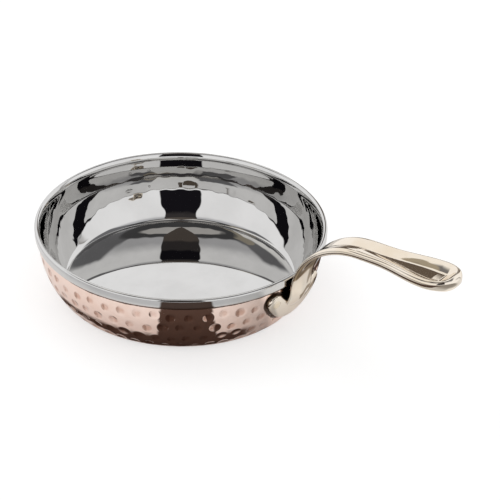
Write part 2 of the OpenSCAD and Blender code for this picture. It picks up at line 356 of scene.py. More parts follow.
def wall_path(depth, floor_steps, corner_steps, side_steps, top):
    """Section of a sheet's face from the middle of the base to the wall's top, at a depth inside the copper's
    outer face. Gives places (r, z), outward normals, and the length along the wall below its upright top."""
    places, normals, below = [], [], []
    for i in range(floor_steps):
        places.append((BASE_R * i / floor_steps, depth))
        normals.append((0.0, -1.0))
        below.append(SIDE_LEN + CORNER_LEN + BASE_R * (1 - i / floor_steps))
    for i in range(corner_steps):
        a = -pi / 2 + (pi / 2 - SIDE_END) * i / corner_steps
        places.append((BASE_R + (CORNER_R - depth) * cos(a), CORNER_R + (CORNER_R - depth) * sin(a)))
        normals.append((cos(a), sin(a)))
        below.append(SIDE_LEN + CORNER_LEN * (1 - i / corner_steps))
    for i in range(side_steps + 1):
        a = -SIDE_END * (1 - i / side_steps)
        places.append((SIDE_X + (SIDE_R - depth) * cos(a), WALL_TOP + (SIDE_R - depth) * sin(a)))
        normals.append((cos(a), sin(a)))
        below.append(SIDE_LEN * (1 - i / side_steps))
    for i in range(UPRIGHT_STEPS):
        places.append((WALL_R - depth, WALL_TOP + (top - WALL_TOP) * (i + 1) / UPRIGHT_STEPS))
        normals.append((1.0, 0.0))
        below.append(-(top - WALL_TOP) * (i + 1) / UPRIGHT_STEPS)
    return np.array(places), np.array(normals), np.array(below)


# The hammer marks stand in staggered rows, each at its distance below the wall's top. The first mark is set
# to the photograph. No two blows fall quite alike, so place, size and force vary.
MARK_PITCH = 11.6
MARK_ROWS = (8.0, 18.5, 29.0, 39.5)
MARK_R = 4.0
MARK_DEPTH = 0.6
MARK_JITTER = 2.2
ASIDE_SHARE, UP_SHARE = 0.3, 0.45
SIZE_RANGE = (0.86, 1.1)
FORCE_RANGE = (0.55, 1.15)
FIRST_MARK = radians(-40.4)
MARKS_IN_ROW = round(2 * pi * WALL_R / MARK_PITCH)
hand = np.random.default_rng(12)
marks = []
for row, below in enumerate(MARK_ROWS):
    row_r = SIDE_X + SIDE_R * cos(min(below, SIDE_LEN) / SIDE_R)
    for k in range(MARKS_IN_ROW):
        turn = FIRST_MARK + 2 * pi * (k + 0.5 * (row % 2)) / MARKS_IN_ROW
        size, force = hand.uniform(*SIZE_RANGE), hand.uniform(*FORCE_RANGE)
        marks.append((turn + hand.normal(0, ASIDE_SHARE) * MARK_JITTER / row_r,
                      below + hand.normal(0, UP_SHARE) * MARK_JITTER, row_r, size, force))

# A mark is looked at up to REACH_SHARE times its radius. A sharp one has its burr at BURR_AT times it.
REACH_SHARE = 2.2
SHARP_EXP, BLUNT_EXP = 1.15, 2.0
BURR_SHARE, BURR_AT, BURR_W = 0.07, 1.12, 0.16
TURNS = 960
turns = np.arange(TURNS) * 2 * pi / TURNS


def hammered(below, radius, sharp):
    """Depth of the hammer marks at each length below the wall's top and each turn, as a share of the deepest.
    A sharp mark is a shallow bowl with a slight burr round it; a blunt one is a smooth swelling."""
    depth = np.zeros((len(below), TURNS))
    for turn, at, row_r, size, force in marks:
        near = np.where(np.abs(below - at) < REACH_SHARE * radius)[0]
        apart = (turns - turn + pi) % (2 * pi) - pi
        side = np.where(np.abs(apart) * row_r < REACH_SHARE * radius)[0]
        if not len(near) or not len(side):
            continue
        d = np.hypot((below[near] - at)[:, None], (apart[side] * row_r)[None, :]) / (radius * size)
        hollow = np.clip(1 - d ** 2, 0, 1) ** (SHARP_EXP if sharp else BLUNT_EXP)
        burr = BURR_SHARE * np.exp(-((d - BURR_AT) / BURR_W) ** 2) if sharp else 0.0
        depth[np.ix_(near, side)] += force * (hollow - burr)
    return depth


# The marks end half way round the corner, and start just under the wall's upright top.
CORNER_END, CORNER_FADE = 0.5, 0.8
TOP_END, TOP_FADE = 0.5, 2.5


def mark_fade(below):
    """The marks fade out where the wall meets the base and under the rolled rim."""
    low = np.clip((SIDE_LEN + CORNER_LEN * CORNER_END - below) / (CORNER_LEN * CORNER_FADE), 0, 1)
    high = np.clip((below - TOP_END) / TOP_FADE, 0, 1)
    return (low * low * (3 - 2 * low) * high * high * (3 - 2 * high))[:, None]


# On a face that wasn't struck a mark has this share of its depth, is wider, and is blunt.
THROUGH = 0.075
SPREAD = 1.25


def shown_through(below):
    """Depth of the marks on a face that wasn't struck itself."""
    return hammered(below, MARK_R * SPREAD, False) * MARK_DEPTH * THROUGH * mark_fade(below)


def add_piece(name, points, faces):
    """A smooth piece from points in millimetres."""
    mesh = bpy.data.meshes.new(name)
    mesh.from_pydata((points * MM).tolist(), [], faces)
    mesh.validate()
    mesh.shade_smooth()
    made = bpy.data.objects.new(name, mesh)
    bpy.context.scene.collection.objects.link(made)
    return made


def turned(name, loops):
    """A piece turned round Z. Each loop is an array (turns, 3) of points, in order along the section; the
    first and the last loop close on the axis."""
    points = np.concatenate([loop.reshape(-1, 3) for loop in loops])
    faces = []
    for i in range(len(loops) - 1):
        a, b = i * TURNS, (i + 1) * TURNS
        for k in range(TURNS):
            n = (k + 1) % TURNS
            faces.append((a + k, a + n, b + n, b + k))
    first, last = len(points), len(points) + 1
    points = np.concatenate([points, [[0, 0, loops[0][0, 2]], [0, 0, loops[-1][0, 2]]]])
    top = (len(loops) - 1) * TURNS
    for k in range(TURNS):
        n = (k + 1) % TURNS
        faces.append((first, n, k))
        faces.append((last, top + k, top + n))
    return add_piece(name, points, faces)


def loops_round(places):
    """Plain rings, one for each (r, z)."""
    return [np.stack([r * np.cos(turns), r * np.sin(turns), np.full(TURNS, z)], 1) for r, z in places]


def loops_hammered(places, normals, dents):
    """Rings that are pushed inward by the dents, an array (rings, turns)."""
    made = []
    for (r, z), (nr, nz), dent in zip(places, normals, dents):
        out = r - nr * dent
        made.append(np.stack([out * np.cos(turns), out * np.sin(turns), z - nz * dent], 1))
    return made


# The punch that drew the bowl left its corner fuller towards the side and tighter towards the floor.
LIP_LOW, LIP_R, LIP_OUT_Z = 43.4, 98.3, 47.2
FLOOR_STEPS, BOWL_CORNER_STEPS, BOWL_SIDE_STEPS = 10, 24, 70
PUNCH_EXP = 1.6
inside, inside_n, inside_below = wall_path(STEEL_IN, FLOOR_STEPS, BOWL_CORNER_STEPS, BOWL_SIDE_STEPS, LIP_LOW)
lean = np.linspace(0, 1, BOWL_CORNER_STEPS + 1) ** PUNCH_EXP * (pi / 2 - SIDE_END) + SIDE_END
middle_lean = (lean[1:] + lean[:-1]) / 2
run = np.concatenate([[0], np.cumsum(np.sin(middle_lean))])
fall = np.concatenate([[0], np.cumsum(np.cos(middle_lean))])
side_foot = np.array([SIDE_X + (SIDE_R - STEEL_IN) * cos(SIDE_END),
                      WALL_TOP - (SIDE_R - STEEL_IN) * sin(SIDE_END)])
scale = (side_foot[1] - STEEL_IN) / fall[-1]
corner = np.stack([side_foot[0] - run * scale, side_foot[1] - fall * scale], 1)[:0:-1]
inside[FLOOR_STEPS:FLOOR_STEPS + BOWL_CORNER_STEPS] = corner
inside[:FLOOR_STEPS, 0] = corner[0, 0] * np.arange(FLOOR_STEPS) / FLOOR_STEPS


def arc(centre, radii, start, end, count):
    """Places (r, z) along part of an oval."""
    return [(centre[0] + radii[0] * cos(a), centre[1] + radii[1] * sin(a))
            for a in np.linspace(start, end, count)]


# The lip opens in a long round on the inside and turns down in a short one on the outside. From there the
# sheet goes down the rim band, round the lower bead to its cut edge, and back up on the inside of the roll.
LIP_STEPS, TURN_STEPS, BEAD_STEPS, BACK_STEPS, ROLL_STEPS = 33, 17, 14, 8, 12
RIM_BAND_AT = (0.33, 0.67)
BEAD_END = radians(-93)
HIDDEN_STEPS = (3, 8, 40)
ROLL_CLEAR = 0.3
inner_r = ROLL_R - STEEL_T
bead = arc((LIP_R, LIP_LOW), (LIP_R - WALL_R + STEEL_IN, PAN_H - LIP_LOW), pi, pi / 2, LIP_STEPS)[1:]
bead += arc((LIP_R, LIP_OUT_Z), (RIM_R - LIP_R, PAN_H - LIP_OUT_Z), pi / 2, 0, TURN_STEPS)[1:]
bead += [(RIM_R, LIP_OUT_Z + (ROLL_LOW - LIP_OUT_Z) * t) for t in RIM_BAND_AT]
bead += arc((ROLL_X, ROLL_LOW), (ROLL_R, ROLL_R), 0, BEAD_END, BEAD_STEPS)
bead += arc((ROLL_X, ROLL_LOW), (inner_r, inner_r), BEAD_END, 0, BACK_STEPS)
bead += arc((ROLL_X, ROLL_TOP), (inner_r, inner_r), 0, pi, ROLL_STEPS)
outside, outside_n, outside_below = wall_path(STEEL_OUT, *HIDDEN_STEPS, ROLL_TOP - ROLL_CLEAR)
swell, pressed = shown_through(inside_below), shown_through(outside_below)
bowl = turned("steel_bowl", loops_hammered(inside[1:], inside_n[1:], swell[1:]) + loops_round(bead)
              + loops_hammered(outside[:0:-1], outside_n[:0:-1], pressed[:0:-1]))
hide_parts("steel_liner")
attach(bowl, "root")

# Polish marks: a cloudy haze where a cloth has rubbed, and hair-fine lines along the way it was polished.
# The Way input is the place, drawn out along the polishing.
polish_marks = bpy.data.node_groups.new("polish_marks", "ShaderNodeTree")
for label, kind in (("Place", "Vector"), ("Way", "Vector"), ("Haze Size", "Float"), ("Line Share", "Float")):
    polish_marks.interface.new_socket(label, in_out="INPUT", socket_type="NodeSocket" + kind)
for label in ("Haze", "Lines"):
    polish_marks.interface.new_socket(label, in_out="OUTPUT", socket_type="NodeSocketFloat")
CLOUDS = {"Detail": 4.0, "Roughness": 0.6}
HAIRLINES = {"Scale": 900.0, "Detail": 3.0, "Roughness": 0.7}
SCRATCHES = {"Scale": 260.0, "Detail": 2.0}
HAZE_EDGE = (0.35, 0.72)
g = Graph(polish_marks)
given = g.node("NodeGroupInput").outputs
cloud = g.node("TexNoise", {"Vector": given["Place"], "Scale": given["Haze Size"], **CLOUDS}).outputs["Fac"]
fine = g.node("TexNoise", {"Vector": given["Way"], **HAIRLINES}).outputs["Fac"]
broad = g.node("TexNoise", {"Vector": given["Way"], **SCRATCHES}).outputs["Fac"]
lines = g.plus(g.times(fine, given["Line Share"]), g.but_not(broad, given["Line Share"]))
g.node("NodeGroupOutput", {"Haze": g.step(cloud, *HAZE_EDGE), "Lines": lines})


def polish(g, place, way, haze_size, line_share):
    """Haze and lines of the polish marks, from the group."""
    marked = g.node("Group", {}, node_tree=polish_marks)
    for key, value in (("Place", place), ("Way", way), ("Haze Size", haze_size), ("Line Share", line_share)):
        g.put(marked.inputs[key], value)
    return marked.outputs["Haze"], marked.outputs["Lines"]


def off_axis(g, split):
    """Distance from the pan's axis."""
    return g.math("SQRT", g.plus(g.math("POWER", split[0], 2.0), g.math("POWER", split[1], 2.0)))


# Polishing on a wheel draws the marks out round the pan: a radian of turn counts as only this many metres.
RADIAN_LENGTH = 0.004


def place_and_ring(g):
    """The place in metres, and the same drawn out round the pan's axis."""
    place = g.node("TexCoord").outputs["Object"]
    split = g.node("SeparateXYZ", {0: place}).outputs
    turn = g.times(g.math("ARCTAN2", split[1], split[0]), RADIAN_LENGTH)
    return place, g.node("CombineXYZ", {0: off_axis(g, split), 1: split[2], 2: turn}).outputs[0]


RELIEF_STRENGTH = 0.2


def finish_metal(made, g, tone, rough, relief, relief_height):
    """The material's own shader: bare metal with a fine relief."""
    bump = g.node("Bump", {"Strength": RELIEF_STRENGTH, "Distance": relief_height, "Height": relief})
    shine = g.node("BsdfPrincipled", {"Base Color": tone, "Metallic": 1.0, "Roughness": rough,
                                      "Normal": bump.outputs[0]})
    g.node("OutputMaterial", {"Surface": shine.outputs[0]})
    return made


CLEAR_STEEL = (0.66, 0.655, 0.645)
HAZED_STEEL = (0.61, 0.605, 0.595)
STEEL_HAZE_SIZE, STEEL_LINE_SHARE = 34.0, 0.6
STEEL_ROUGH, STEEL_HAZE_ROUGH, STEEL_LINE_ROUGH = 0.004, 0.010, 0.012
DRAWN_WAVES = {"Scale": 45.0, "Detail": 1.0}
STEEL_WAVE, STEEL_LINE, STEEL_RELIEF = 0.9, 0.012, 0.00012
steel = bpy.data.materials.new("mirror_steel")
steel.use_nodes = True
g = Graph(steel.node_tree)
place, ring = place_and_ring(g)
haze, lines = polish(g, place, ring, STEEL_HAZE_SIZE, STEEL_LINE_SHARE)
wave = g.node("TexNoise", {"Vector": place, **DRAWN_WAVES}).outputs["Fac"]
relief = g.plus(g.times(wave, STEEL_WAVE), g.times(lines, STEEL_LINE))
rough = g.plus(g.times(haze, STEEL_HAZE_ROUGH), g.scaled(lines, STEEL_LINE_ROUGH, STEEL_ROUGH))
tone = g.mix(haze, CLEAR_STEEL, HAZED_STEEL)
bowl.data.materials.append(finish_metal(steel, g, tone, rough, relief, STEEL_RELIEF))


# The copper jacket
# A copper sheet spun round the bowl and hammered by hand in rows, one round blow beside the other. It is
# polished; the pits keep a little warm tarnish, and the flat base is rubbed by the stove.
OUTER_STEPS = (12, 16, 84)
outer, outer_n, outer_below = wall_path(0.0, *OUTER_STEPS, ROLL_TOP - SEAT_GAP)
dents = hammered(outer_below, MARK_R, True) * MARK_DEPTH * mark_fade(outer_below)
back, back_n, back_below = wall_path(COPPER_T, *HIDDEN_STEPS, ROLL_TOP - SEAT_GAP)
jacket = turned("copper_jacket_hammered", loops_hammered(back[1:], back_n[1:], shown_through(back_below)[1:])
                + loops_hammered(outer[:0:-1], outer_n[:0:-1], dents[:0:-1]))
pit = jacket.data.attributes.new("pit", "FLOAT", "POINT")
share = np.concatenate([np.zeros((len(back) - 1) * TURNS),
                        np.clip(dents[:0:-1] / MARK_DEPTH, 0, 1).ravel(), [0.0, 0.0]])
pit.data.foreach_set("value", share.astype(np.float32))
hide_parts("copper_jacket")
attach(jacket, "root")

BRIGHT_COPPER = (0.97, 0.77, 0.68)
WARM_COPPER = (0.86, 0.59, 0.47)
PIT_COPPER = (0.72, 0.46, 0.36)
PIT_SHADE_COPPER = (0.40, 0.23, 0.17)
RUBBED_COPPER = (0.70, 0.44, 0.34)
COPPER_DARK_SEAM = (0.085, 0.052, 0.037)
COPPER_HAZE_SIZE, COPPER_LINE_SHARE = 55.0, 0.4
COPPER_ROUGH, COPPER_HAZE_ROUGH, RUBBED_ROUGH, DARK_SEAM_ROUGH = 0.03, 0.03, 0.2, 0.3
COPPER_WAVE, COPPER_LINE, COPPER_RELIEF = 0.5, 0.03, 0.0001
TARNISH = {"Scale": 120.0, "Detail": 5.0, "Roughness": 0.65}
# Tarnish by its own cloud and the pits' depth; painted shade on one side of each pit, by the slope round the
# pan.
WARM_CLOUD, WARM_SHARE, WARM_IN_PITS = (0.42, 0.7), 0.25, 0.5
BLUSH_PITS, BLUSH_CLOUD = (0.2, 0.75), (0.30, 0.60, 0.25, 0.85)
EDGE_PITS, EDGE_CLOUD, EDGE_SLOPE = (0.05, 0.2), (0.38, 0.56, 0.2, 0.8), (0.002, 0.012)
BASE_HEIGHT, BASE_LINES, BASE_SHARE = (0.0004, 0.0025), (0.4, 0.62), 0.5
DARK_SEAM_CLOUD, DARK_SEAM_LEVEL, DARK_SEAM_EDGE = 0.9, 0.55, (0.15, 0.4)

copper = bpy.data.materials.new("hammered_copper_sheet")
copper.use_nodes = True
g = Graph(copper.node_tree)
place, ring = place_and_ring(g)
haze, lines = polish(g, place, ring, COPPER_HAZE_SIZE, COPPER_LINE_SHARE)
pits = g.node("Attribute", attribute_name="pit").outputs["Fac"]
tarnish = g.node("TexNoise", {"Vector": place, **TARNISH}).outputs["Fac"]
warm = g.times(g.step(tarnish, *WARM_CLOUD), g.scaled(pits, WARM_IN_PITS, WARM_SHARE))
tone = g.mix(warm, BRIGHT_COPPER, WARM_COPPER)
blush = g.times(g.step(pits, *BLUSH_PITS), g.step(tarnish, *BLUSH_CLOUD))
tone = g.mix(blush, tone, PIT_COPPER)
# Painted shade on one side of each pit, where its slope faces one way round the pan, in broken patches.
round_the_pan = g.vector("CROSS_PRODUCT", (0.0, 0.0, 1.0), place).outputs["Vector"]
facing = g.dot(g.node("NewGeometry").outputs["Normal"], round_the_pan)
pit_side_shade = g.times(g.step(facing, *EDGE_SLOPE), g.step(tarnish, *EDGE_CLOUD))
tone = g.mix(g.times(g.step(pits, *EDGE_PITS), pit_side_shade), tone, PIT_SHADE_COPPER)
# The base is rubbed along the polishing lines.
height = g.node("SeparateXYZ", {0: place}).outputs[2]
rubbed = g.times(g.step(height, *BASE_HEIGHT, 1.0, 0.0), g.step(lines, *BASE_LINES))
tone = g.mix(g.times(rubbed, BASE_SHARE), tone, RUBBED_COPPER)
# The seams are darker and rougher, in broken patches.
seams = g.node("Attribute", attribute_name="dark_seam").outputs["Fac"]
dark_seam = g.step(g.scaled(tarnish, DARK_SEAM_CLOUD, g.math("SUBTRACT", seams, DARK_SEAM_LEVEL)), *DARK_SEAM_EDGE)
tone = g.mix(dark_seam, tone, COPPER_DARK_SEAM)
rough = g.plus(g.times(haze, COPPER_HAZE_ROUGH), g.scaled(rubbed, RUBBED_ROUGH, COPPER_ROUGH))
rough = g.scaled(dark_seam, DARK_SEAM_ROUGH, rough)
relief = g.plus(g.times(tarnish, COPPER_WAVE), g.times(lines, COPPER_LINE))
jacket.data.materials.append(finish_metal(copper, g, tone, rough, relief, COPPER_RELIEF))


# The handle
# One brass casting, filed and polished: a curved foot with two round ears that hugs the wall, a swan neck
# just outside the rim, and a grip with a thumb channel and a round end. It is made of rounded sections
# along a path, and the two rivets hold it.
FOOT_W = 52.0
EAR_D = 12.0
FOOT_BAND_W = 14.0
EAR_RISE = 12.5
FOOT_T = 3.8
FOOT_DROP = 10.0
# The neck rises out of the foot on a low boss.
ROOT_SINK, ROOT_T, ROOT_ROUND = 1.0, 1.6, 0.4
BOSS_D = 2.2
NECK_W, NECK_T = 22.0, 2.6
NECK_BEND_R = 54.0
NECK_CLEAR = 0.8
NECK_DROP = 9.5
NECK_LEAN = radians(4.0)
NECK_CHANNEL_D = 0.6
# The grip widens over its last part, and a bead closes its end.
HANDLE_REACH = 121.5
GRIP_SLOPE = radians(4.0)
GRIP_W, GRIP_T = 21.5, 6.6
END_W, END_T, END_L = 31.0, 9.0, 18.0
FLARE_L = 38.0
END_BEAD_W = 5.0
# The thumb channel is cut in the upper face, and a shallow scoop in the lower face of the bend.
GRIP_CHANNEL_D, CHANNEL_D, CHANNEL_EXP = 2.5, 4.8, 1.3
CHANNEL_SHARE = 0.86
CHANNEL_START = 0.2
GROOVE_FLAT, GROOVE_START_L, GROOVE_SOFT = 0.36, 50.0, 0.08
SCOOP_D, SCOOP_FULL, SCOOP_FADE = 0.9, 0.35, 0.6
# How square the sections are: the smaller the exponent, the squarer.
WIDTH_EXP, UPPER_EXP, FOOT_EXP, NECK_EXP, GRIP_EXP = 0.6, 0.5, 0.4, 0.5, 0.8
# The ears keep their thickness almost to their edge, which is what a large exponent does here.
EAR_EDGE_EXP = 6.0

EAR_Z = PAN_H - FOOT_DROP - EAR_D / 2
BAND_Z = EAR_Z - EAR_RISE
EAR_Y = (FOOT_W - EAR_D) / 2
NECK_START_Z = PAN_H - NECK_DROP
BEND_START_X = RIM_R + NECK_CLEAR
BEND_X = BEND_START_X + NECK_BEND_R * cos(NECK_LEAN)
BEND_Z = NECK_START_Z - NECK_BEND_R * sin(NECK_LEAN)
BEND_FROM, BEND_TO = pi - NECK_LEAN, pi / 2 + GRIP_SLOPE
GRIP_X = BEND_X + NECK_BEND_R * cos(BEND_TO)
GRIP_Z = BEND_Z + NECK_BEND_R * sin(BEND_TO)
TIP_X = RIM_R + HANDLE_REACH
END_X = TIP_X - END_L


def mix(a, b, t):
    """From a to b as t goes from 0 to 1."""
    return a + (b - a) * t


def ease(t):
    """From 0 to 1, slow at both ends."""
    return (1 - np.cos(pi * np.clip(t, 0, 1))) / 2


def oval(t, e):
    """Half height of a rounded outline at t, which is 1 at its end."""
    return max(0.0, 1 - abs(t) ** e) ** (1 / e)


def wall_x(z):
    """Radius of the copper's outer face."""
    return SIDE_X + sqrt(SIDE_R ** 2 - (min(z, WALL_TOP) - WALL_TOP) ** 2)


def band_station(along):
    """Place across and up, the band's direction, half width and thickness, by distance from its middle."""
    side = 1 if along > 0 else -1
    past = max(0.0, abs(along) - EAR_Y) / (EAR_D / 2)
    start = min(abs(along), EAR_Y) / EAR_Y
    turn = atan2(2 * EAR_RISE * start, EAR_Y)
    reach = past * EAR_D / 2
    return (side * (start * EAR_Y + reach * cos(turn)), BAND_Z + EAR_RISE * start ** 2 + reach * sin(turn),
            side * turn, mix(FOOT_BAND_W, EAR_D, start ** 2) / 2 * oval(past, 2),
            FOOT_T * oval(past, EAR_EDGE_EXP))


# A station of the arm: x and z of the upper face, the way it looks, half width, upper and lower half
# thickness, channel, scoop, how far the upper face follows the wall's round, and the lower face's exponent.
def root_station(t):
    """From inside the band out to where the neck clears the rim."""
    z, k = mix(BAND_Z, NECK_START_Z, t), ease(t)
    return (mix(wall_x(z) + ROOT_SINK, BEND_START_X, k), z, mix(pi, BEND_FROM, k),
            NECK_W / 2 * oval(1 - min(1.0, t / ROOT_ROUND), 2), NECK_T / 2 * k, mix(ROOT_T, NECK_T / 2, k),
            0.0, -BOSS_D * ease(2 * t) * mix(1.0, 0.5, k), 1 - k, mix(FOOT_EXP, NECK_EXP, k))


def bend_station(t):
    """Round the neck's bend to the start of the grip."""
    a, half_t = mix(BEND_FROM, BEND_TO, t), mix(NECK_T, GRIP_T, ease(t)) / 2
    channel = mix(NECK_CHANNEL_D, GRIP_CHANNEL_D, ease((t - CHANNEL_START) / (1 - CHANNEL_START)))
    scoop = mix(-BOSS_D / 2, SCOOP_D, ease(t / SCOOP_FULL)) * (1 - ease((t - SCOOP_FADE) / (1 - SCOOP_FADE)))
    return (BEND_X + NECK_BEND_R * cos(a), BEND_Z + NECK_BEND_R * sin(a), a, mix(NECK_W, GRIP_W, ease(t)) / 2,
            half_t, half_t, channel * ease(t / CHANNEL_START), scoop, 0.0, mix(NECK_EXP, GRIP_EXP, ease(t)))


def grip_station(x):
    """Along the grip to its tip."""
    run = min(1.0, (x - GRIP_X) / (END_X - GRIP_X))
    flare = ease((x - END_X + FLARE_L) / FLARE_L)
    left = TIP_X - x
    fade = oval(max(0.0, 1 - left / END_BEAD_W), 2)
    half_w = mix(GRIP_W, END_W, flare) / 2 * oval(max(0.0, (x - END_X) / END_L), 2)
    half_t = mix(GRIP_T, END_T, ease(run)) / 2
    channel = mix(GRIP_CHANNEL_D, CHANNEL_D, run ** CHANNEL_EXP)
    return (x, GRIP_Z + (x - GRIP_X) * tan(GRIP_SLOPE) - (1 - fade) * half_t, BEND_TO,
            half_w, half_t * fade, half_t * fade,
            channel * ease((left - END_BEAD_W / 2) / (2 * END_BEAD_W)), 0.0, 0.0, GRIP_EXP)


# Each quarter of a section is drawn finely, and then gets QUARTER evenly spaced points.
QUARTER = 32
RING = 4 * QUARTER
FINE_POINTS, DIGITS = 3001, 12
quarter_angles = pi / 4 * (1 - np.cos(np.linspace(0, pi, FINE_POINTS)))


def quarter_turn(quarter):
    """Cosines and sines along one quarter of a turn, exactly 0 or 1 at its ends."""
    a = quarter_angles + quarter * pi / 2
    return np.round(np.cos(a), DIGITS), np.round(np.sin(a), DIGITS)


def spread(half_w, c):
    """Places across a section of rounded sides."""
    return half_w * np.sign(c) * np.abs(c) ** WIDTH_EXP


def even(across, up):
    """Points spaced evenly along one quarter of an outline, without its last."""
    gone = np.concatenate([[0], np.cumsum(np.hypot(np.diff(across), np.diff(up)))])
    spots = np.linspace(0, gone[-1], QUARTER + 1)[:-1]
    return np.stack([np.interp(spots, gone, across), np.interp(spots, gone, up)], 1)


def band_section(station):
    """The closed ring of points round one station of the foot: flat on the wall and rounded outside."""
    y, z, turn, half_w, thick = station
    ring = []
    for quarter in range(4):
        c, s = quarter_turn(quarter)
        ring.append(even(spread(half_w, c), thick * np.maximum(s, 0.0) ** FOOT_EXP))
    ring = np.concatenate(ring)
    ys, zs = y - ring[:, 0] * sin(turn), z + ring[:, 0] * cos(turn)
    r = np.array([wall_x(v) for v in zs]) + SEAT_GAP + ring[:, 1]
    return np.stack([np.sqrt(r ** 2 - ys ** 2), ys, zs], 1)


def groove(v, flat):
    """Section of the thumb channel, 1 deep in its middle: a flat bottom, two slopes, rounded shoulders."""
    v = np.clip(v, 0, 1)
    drop = 1 - flat - GROOVE_SOFT
    foot = np.clip(v - flat, 0, GROOVE_SOFT) ** 2 / (2 * GROOVE_SOFT)
    slope = np.clip(v - flat - GROOVE_SOFT, 0, drop - GROOVE_SOFT)
    shoulder = np.clip(v - 1 + GROOVE_SOFT, 0, GROOVE_SOFT)
    return 1 - (foot + slope + shoulder - shoulder ** 2 / (2 * GROOVE_SOFT)) / drop


def section(station):
    """The closed ring of points round one station of the arm."""
    x, z, facing, half_w, up_t, low_t, channel, scoop, hug, low_exp = station
    flat = GROOVE_FLAT * ease((x - GRIP_X) / GROOVE_START_L)
    ring = []
    for quarter in range(4):
        c, s = quarter_turn(quarter)
        across = spread(half_w, c)
        off_middle = np.abs(across) / (half_w * CHANNEL_SHARE)
        if quarter < 2:
            face = up_t * np.abs(s) ** UPPER_EXP - channel * groove(off_middle, flat)
        else:
            face = -low_t * np.abs(s) ** low_exp + scoop * ease(1 - off_middle)
        ring.append(even(across, face - up_t + hug * (x - np.sqrt(x * x - across ** 2))))
    ring = np.concatenate(ring)
    return np.stack([x + ring[:, 1] * cos(facing), ring[:, 0], z + ring[:, 1] * sin(facing)], 1)


def rings_to_faces(rings, first):
    """Faces of the tube through some rings, closed at both ends, counted from their first point."""
    made = [tuple(first + k for k in range(RING))]
    for i in range(len(rings) - 1):
        near, far = first + i * RING, first + (i + 1) * RING
        for k in range(RING):
            n = (k + 1) % RING
            made.append((near + k, far + k, far + n, near + n))
    last = first + (len(rings) - 1) * RING
    made.append(tuple(last + k for k in reversed(range(RING))))
    return made


# The stations stop a small share of a step short of a rounded end, so no ring shrinks to a point.
BAND_STEPS, EAR_STEPS, ROOT_STEPS, BEND_STEPS, GRIP_STEPS, END_STEPS = 70, 30, 50, 110, 120, 60
SHORT = 0.12
cap = [EAR_Y + EAR_D / 2 * sin(pi / 2 * (i + SHORT) / EAR_STEPS) for i in range(EAR_STEPS)]
spots = [-s for s in reversed(cap)]
spots += [EAR_Y * i / BAND_STEPS for i in range(1 - BAND_STEPS, BAND_STEPS)] + cap
band_rings = np.array([band_section(band_station(s)) for s in spots])
band_faces = rings_to_faces(band_rings, 0)
stations = [root_station((i + SHORT) / (ROOT_STEPS + SHORT)) for i in range(ROOT_STEPS + 1)]
stations += [bend_station(i / BEND_STEPS) for i in range(1, BEND_STEPS + 1)]
stations += [grip_station(mix(GRIP_X, END_X, i / GRIP_STEPS)) for i in range(1, GRIP_STEPS + 1)]
stations += [grip_station(mix(END_X, TIP_X, sin(pi / 2 * (i - SHORT) / END_STEPS)))
             for i in range(1, END_STEPS + 1)]
rings = np.array([section(s) for s in stations])
foot_points = band_rings.reshape(-1, 3)
handle_points = np.concatenate([foot_points, rings.reshape(-1, 3)])
handle = add_piece("brass_handle", handle_points, band_faces + rings_to_faces(rings, len(foot_points)))
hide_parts("handle")
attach(handle, "root")


def add_dark_seam(piece, share):
    """How dark a piece is made at each of its points, from 0 to 1."""
    seam_darkness = piece.data.attributes.new("dark_seam", "FLOAT", "POINT")
    seam_darkness.data.foreach_set("value", share.astype(np.float32))


# The crease where the casting meets the copper is darker, on both of them, and so is the copper along
# the seam under the rolled rim.
CREASE_H = 3.4
DARK_SEAM_W = 3.2
SEAM_DROP, SEAM_W = 0.3, 1.5
NEAR_FOOT_X, NEAR_FOOT_Y, NEAR_FOOT_Z = 80.0, FOOT_W / 2 + 5.0, 8.0
lift = np.hypot(handle_points[:, 0], handle_points[:, 1]) - np.array([wall_x(z) for z in handle_points[:, 2]])
add_dark_seam(handle, np.where(handle_points[:, 2] < WALL_TOP, np.clip(1 - lift / CREASE_H, 0, 1), 0.0))

foot_surface = BVHTree.FromPolygons(foot_points.tolist(), band_faces)
on_jacket = np.zeros(len(jacket.data.vertices) * 3)
jacket.data.vertices.foreach_get("co", on_jacket)
on_jacket = on_jacket.reshape(-1, 3) / MM
x, y, z = on_jacket.T
dark_share = np.clip(1 - (WALL_TOP - z - SEAM_DROP) / SEAM_W, 0, 1)
for i in np.where((x > NEAR_FOOT_X) & (np.abs(y) < NEAR_FOOT_Y) & (z > NEAR_FOOT_Z))[0]:
    apart = foot_surface.find_nearest(on_jacket[i].tolist())[3]
    dark_share[i] = max(dark_share[i], 1 - apart / DARK_SEAM_W)
add_dark_seam(jacket, dark_share)

BEND_SHADE_BRASS = (0.27, 0.185, 0.09)
BRASS_DARK_SEAM = (0.14, 0.10, 0.06)
TIN = (0.60, 0.595, 0.585)
ALONG_HANDLE = (0.06, 1.0, 1.0)
BRASS_LINE_SHARE = 0.5
BRASS_HAZE_ROUGH, BRASS_LINE_ROUGH, SEAM_ROUGH = 0.03, 0.03, 0.25
CAST_WAVES = {"Scale": 70.0, "Detail": 2.0}
BRASS_WAVE, BRASS_LINE, BRASS_RELIEF = 0.7, 0.02, 0.00018
SEAM_WAVES, SEAM_LEVEL, SEAM_EDGE = 0.8, 0.5, (0.15, 0.42)
# Painted shade in the hollow of the bend, in metres: it starts above a slanted level, ends higher up, and
# faces the grip.
UNDER_SLANT = -0.35
UNDER_FROM = (0.0508, 0.0526)
UNDER_TO = (0.070, 0.083)
UNDER_FACING = (0.15, 0.45)
BEND_SHADE_SHARE = 0.9
INSIDE_BOWL = (0.0955, 0.0960)


